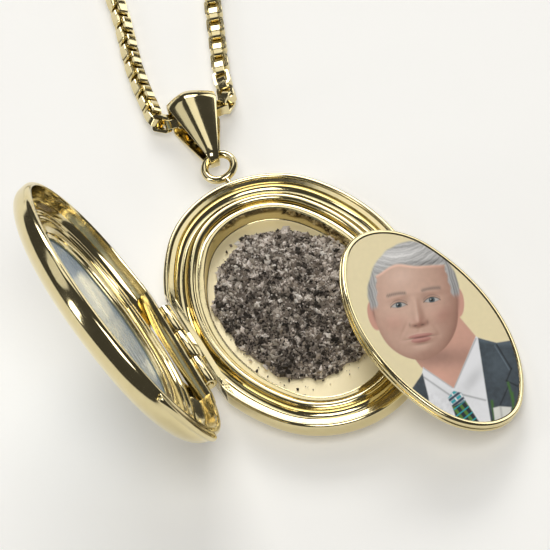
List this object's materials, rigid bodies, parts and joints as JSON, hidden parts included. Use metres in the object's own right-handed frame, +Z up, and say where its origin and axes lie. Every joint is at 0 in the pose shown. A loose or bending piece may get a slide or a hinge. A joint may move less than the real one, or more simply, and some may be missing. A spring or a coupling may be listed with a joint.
{
  "type": "keepsake urn pendant",
  "caption": "Oval hinged keepsake locket with a glazed lid standing open, a well holding ash, a loose portrait plate, and a box chain through its bail.",
  "frame": {"origin": "centre of the flat back of the locket, on the surface that it lies on", "axes": "+Z up out of the open well, +Y toward the bail, +X toward the side away from the hinge"},
  "size_m": [0.111, 0.2284, 0.02],
  "materials": {
    "locket_body": "polished gold plate",
    "ash_heap": "matt, dusty",
    "locket_lid": "polished gold plate",
    "window_frame": "satin gold plate",
    "window_pane": "clear, faintly blue",
    "cover_plate": "gold plate with a printed portrait under lacquer",
    "hinge_pin": "polished",
    "bail": "polished gold plate",
    "chain": "polished gold plate",
    "clasp": "polished gold plate"
  },
  "bodies": {
    "locket": {"locket_body": "locket_body", "ash_heap": "ash_heap", "hinge_pin": "hinge_pin", "bail": "bail", "chain": "chain", "clasp": "clasp"},
    "lid": {"locket_lid": "locket_lid", "window_frame": "window_frame", "window_pane": "window_pane"},
    "plate": {"cover_plate": "cover_plate"}
  },
  "joints": [
    {"name": "lid_hinge", "type": "hinge", "parent": "locket", "child": "lid", "pos_m": [-0.0095, 0, 0.00283], "axis": [0, 1, 0], "range_deg": [0, 117]},
    {"name": "plate_draw", "type": "slide", "parent": "locket", "child": "plate", "axis": [1, 0, 0], "range_m": [0, 0.0125]}
  ],
  "couplings": [
    {"joint": "plate_draw", "follows": "lid_hinge", "m_per_rad": 0.0058}
  ]
}
